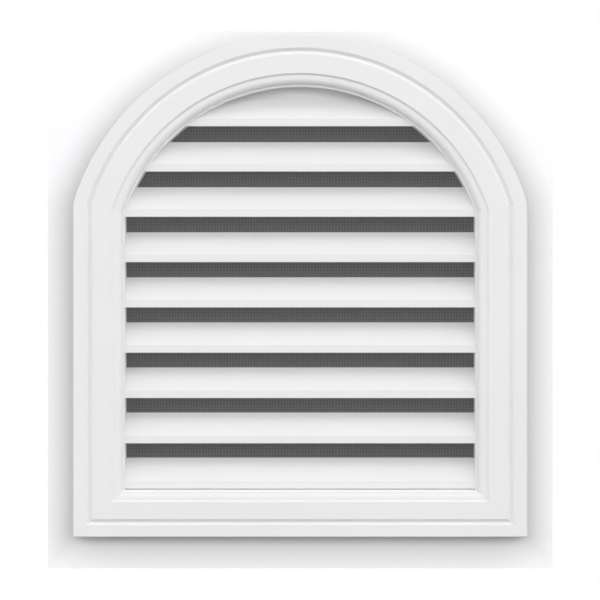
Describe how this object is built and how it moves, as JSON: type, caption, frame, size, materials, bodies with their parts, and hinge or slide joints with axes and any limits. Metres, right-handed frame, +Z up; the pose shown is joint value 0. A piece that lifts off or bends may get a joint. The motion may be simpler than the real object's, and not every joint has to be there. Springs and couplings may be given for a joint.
{
  "type": "gable vent",
  "caption": "Arched-top gable vent: mitred white casing round a box of fixed sloping louvers, with an insect screen stapled across the back; it mounts flat on a wall over an opening.",
  "frame": {"origin": "middle of the bottom edge of the casing's back face, on the wall plane", "axes": "+Z up the wall, +Y into the wall, so the louvers face -Y, and +X to the right seen from outside"},
  "size_m": [0.762, 0.0874, 0.843],
  "materials": {
    "white_pvc": "satin white",
    "screen_wire": "dull grey",
    "staple_steel": "galvanised"
  },
  "bodies": {
    "root": {"head_casing": "white_pvc", "left_casing": "white_pvc", "right_casing": "white_pvc", "sill_casing": "white_pvc", "head_jamb": "white_pvc", "left_jamb": "white_pvc", "right_jamb": "white_pvc", "sill_jamb": "white_pvc", "head_filler": "white_pvc", "louver_1": "white_pvc", "louver_2": "white_pvc", "louver_3": "white_pvc", "louver_4": "white_pvc", "louver_5": "white_pvc", "louver_6": "white_pvc", "louver_7": "white_pvc", "louver_8": "white_pvc", "louver_9": "white_pvc", "insect_screen": "screen_wire", "screen_staples": "staple_steel"}
  },
  "joints": []
}
